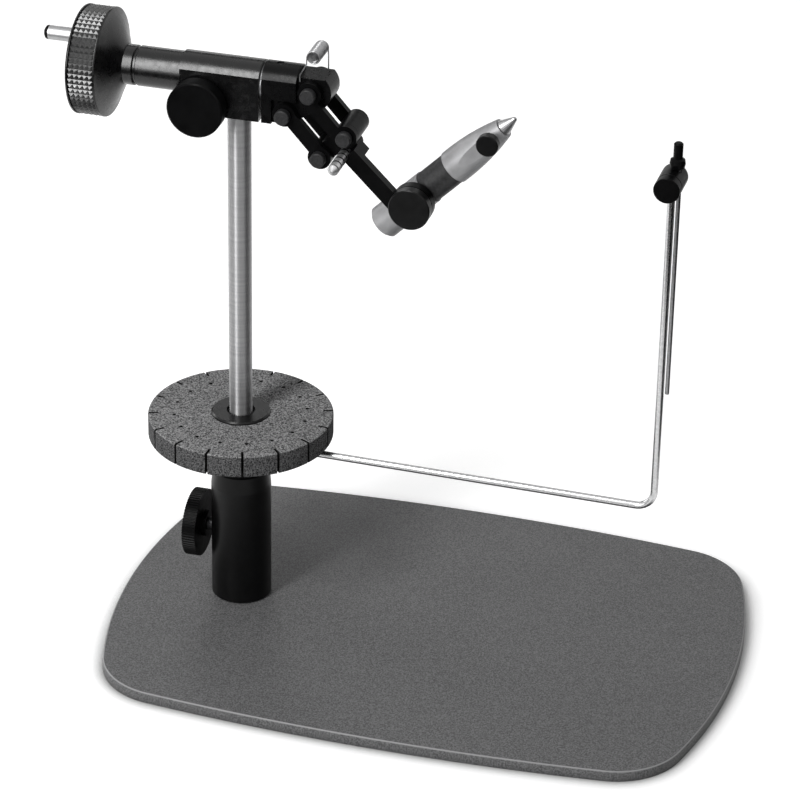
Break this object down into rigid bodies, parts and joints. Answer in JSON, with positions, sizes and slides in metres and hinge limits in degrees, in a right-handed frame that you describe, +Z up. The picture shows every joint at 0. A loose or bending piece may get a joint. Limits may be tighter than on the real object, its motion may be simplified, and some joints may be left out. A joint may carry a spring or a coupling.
{
  "type": "fly tying vise",
  "caption": "Rotary fly tying vise on a flat pedestal base, with a crank wheel, a foam tool disc, a bobbin cradle, and a push-button jaw carried on a parallel linkage.",
  "frame": {"origin": "underside of the base plate, on the column's axis", "axes": "+X along the base's long side towards the jaw and the cradle, +Z up, -Y towards the side with the knobs"},
  "size_m": [0.3065, 0.196, 0.2756],
  "materials": {
    "plate_grey": "fine-grained powder coat",
    "black_satin": "satin black",
    "black_sleeve": "bare black sleeve",
    "dark_steel": "blackened steel",
    "post_steel": "ground steel",
    "bright_steel": "bright turned steel",
    "spring_steel": "drawn wire",
    "jaw_silver": "matt silver",
    "jaw_steel": "polished hardened steel",
    "brass": "turned",
    "foam": "dense closed-cell foam, grained"
  },
  "bodies": {
    "stand": {"base_plate": "plate_grey", "column": "black_satin", "column_screws": "dark_steel"},
    "column_clamp": {"clamp_knob": "black_satin", "clamp_screw": "bright_steel", "clamp_pad": "brass"},
    "post_and_housing": {"post": "post_steel", "housing": "black_satin", "post_set_screw": "dark_steel", "rear_bush": "brass", "front_bush": "brass"},
    "tool_disc": {"foam_disc": "foam", "foam_hub": "black_satin"},
    "cradle": {"arm_collar": "black_satin", "collar_set_screw": "dark_steel", "cradle_rod": "bright_steel", "rest_clamp": "black_satin"},
    "rest_extension": {"extension_wire": "spring_steel", "rest_pin": "dark_steel"},
    "rest_screw": {"rest_knob": "black_satin"},
    "rotor": {"shaft": "post_steel", "crank_wheel": "black_satin", "wheel_collar": "black_satin", "wheel_screw": "dark_steel", "crank_pin": "black_satin", "rear_washer": "bright_steel", "front_washer": "bright_steel", "rotor_block": "black_satin", "block_set_screw": "dark_steel", "material_clip": "spring_steel", "rotor_link_pins": "dark_steel", "rotor_pin_clips": "bright_steel"},
    "crank_grip": {"crank_sleeve": "bright_steel"},
    "drag": {"drag_knob": "black_satin", "drag_screw": "bright_steel"},
    "upper_link": {"upper_link_front": "black_satin", "upper_link_rear": "black_satin"},
    "lower_link": {"lower_link_front": "black_satin", "lower_link_rear": "black_satin"},
    "arm": {"jaw_arm": "black_satin", "arm_link_pins": "dark_steel", "arm_pin_clips": "bright_steel"},
    "lock": {"lock_screw": "bright_steel"},
    "jaw_body": {"pivot_stud": "bright_steel", "jaw_tube": "jaw_silver", "grip_sleeve": "black_sleeve", "nose": "jaw_silver"},
    "pivot_clamp": {"pivot_knob": "black_satin"},
    "front_screw": {"front_knob": "black_satin"},
    "button": {"push_button": "dark_steel", "return_spring": "spring_steel", "push_rod": "bright_steel"},
    "jaw_upper": {"upper_jaw": "jaw_steel"},
    "jaw_lower": {"lower_jaw": "jaw_steel"}
  },
  "joints": [
    {"name": "column_clamp_turn", "type": "hinge", "parent": "stand", "child": "column_clamp", "pos_m": [-0.02, 0, 0.0365], "axis": [1, 0, 0], "range_deg": [0, 180]},
    {"name": "post_height", "type": "slide", "parent": "stand", "child": "post_and_housing", "axis": [0, 0, 1], "range_m": [-0.006, 0.012]},
    {"name": "disc_turn", "type": "hinge", "parent": "post_and_housing", "child": "tool_disc", "pos_m": [0, 0, 0.09], "axis": [0, 0, 1], "continuous": true},
    {"name": "cradle_turn", "type": "hinge", "parent": "post_and_housing", "child": "cradle", "pos_m": [0, 0, 0.08], "axis": [0, 0, 1], "continuous": true},
    {"name": "extension_slide", "type": "slide", "parent": "cradle", "child": "rest_extension", "axis": [0, 0, 1], "range_m": [0, 0.09]},
    {"name": "rest_knob_turn", "type": "hinge", "parent": "cradle", "child": "rest_screw", "pos_m": [0.18447, -0.00322, 0.2335], "axis": [0.0175, 0.9998, 0], "range_deg": [0, 180]},
    {"name": "rotary", "type": "hinge", "parent": "post_and_housing", "child": "rotor", "pos_m": [0, 0, 0.2525], "axis": [1, 0, 0], "continuous": true},
    {"name": "crank_grip_turn", "type": "hinge", "parent": "rotor", "child": "crank_grip", "pos_m": [-0.072, -0.00614, 0.26508], "axis": [1, 0, 0], "continuous": true},
    {"name": "drag_knob_turn", "type": "hinge", "parent": "post_and_housing", "child": "drag", "pos_m": [-0.0144, 0, 0.2426], "axis": [0, 1, 0], "range_deg": [0, 180]},
    {"name": "upper_link_swing", "type": "hinge", "parent": "rotor", "child": "upper_link", "pos_m": [0.033, 0, 0.2532], "axis": [0, 1, 0], "range_deg": [-25, 25]},
    {"name": "lower_link_swing", "type": "hinge", "parent": "rotor", "child": "lower_link", "pos_m": [0.02205, 0, 0.24255], "axis": [0, 1, 0], "range_deg": [-25.5, 25.5]},
    {"name": "arm_level", "type": "hinge", "parent": "upper_link", "child": "arm", "pos_m": [0.04845, 0, 0.23616], "axis": [0, 1, 0], "range_deg": [-25.5, 25.5]},
    {"name": "lock_screw_turn", "type": "hinge", "parent": "arm", "child": "lock", "pos_m": [0.0482, 0, 0.22846], "axis": [0, 1, 0], "range_deg": [0, 180]},
    {"name": "jaw_tilt", "type": "hinge", "parent": "arm", "child": "jaw_body", "pos_m": [0.078, 0, 0.2106], "axis": [0, 1, 0], "range_deg": [-40, 45]},
    {"name": "pivot_knob_turn", "type": "hinge", "parent": "arm", "child": "pivot_clamp", "pos_m": [0.078, 0, 0.2106], "axis": [0, 1, 0], "range_deg": [0, 180]},
    {"name": "front_knob_turn", "type": "hinge", "parent": "jaw_body", "child": "front_screw", "pos_m": [0.10881, 0, 0.24131], "axis": [0, 1, 0], "range_deg": [0, 180]},
    {"name": "button_press", "type": "slide", "parent": "jaw_body", "child": "button", "axis": [0.7083, 0, 0.7059], "range_m": [0, 0.003], "stiffness_N_per_m": 600, "springref_m": -0.002},
    {"name": "upper_jaw_open", "type": "hinge", "parent": "jaw_body", "child": "jaw_upper", "pos_m": [0.09918, 0, 0.23171], "axis": [0, -1, 0], "range_deg": [0, 2.6]},
    {"name": "lower_jaw_open", "type": "hinge", "parent": "jaw_body", "child": "jaw_lower", "pos_m": [0.09918, 0, 0.23171], "axis": [0, 1, 0], "range_deg": [0, 2.6]}
  ],
  "couplings": [
    {"joint": "lower_link_swing", "follows": "upper_link_swing", "ratio": 1},
    {"joint": "arm_level", "follows": "upper_link_swing", "ratio": -1},
    {"joint": "upper_jaw_open", "follows": "button_press", "rad_per_m": 14.544},
    {"joint": "lower_jaw_open", "follows": "button_press", "rad_per_m": 14.544}
  ]
}
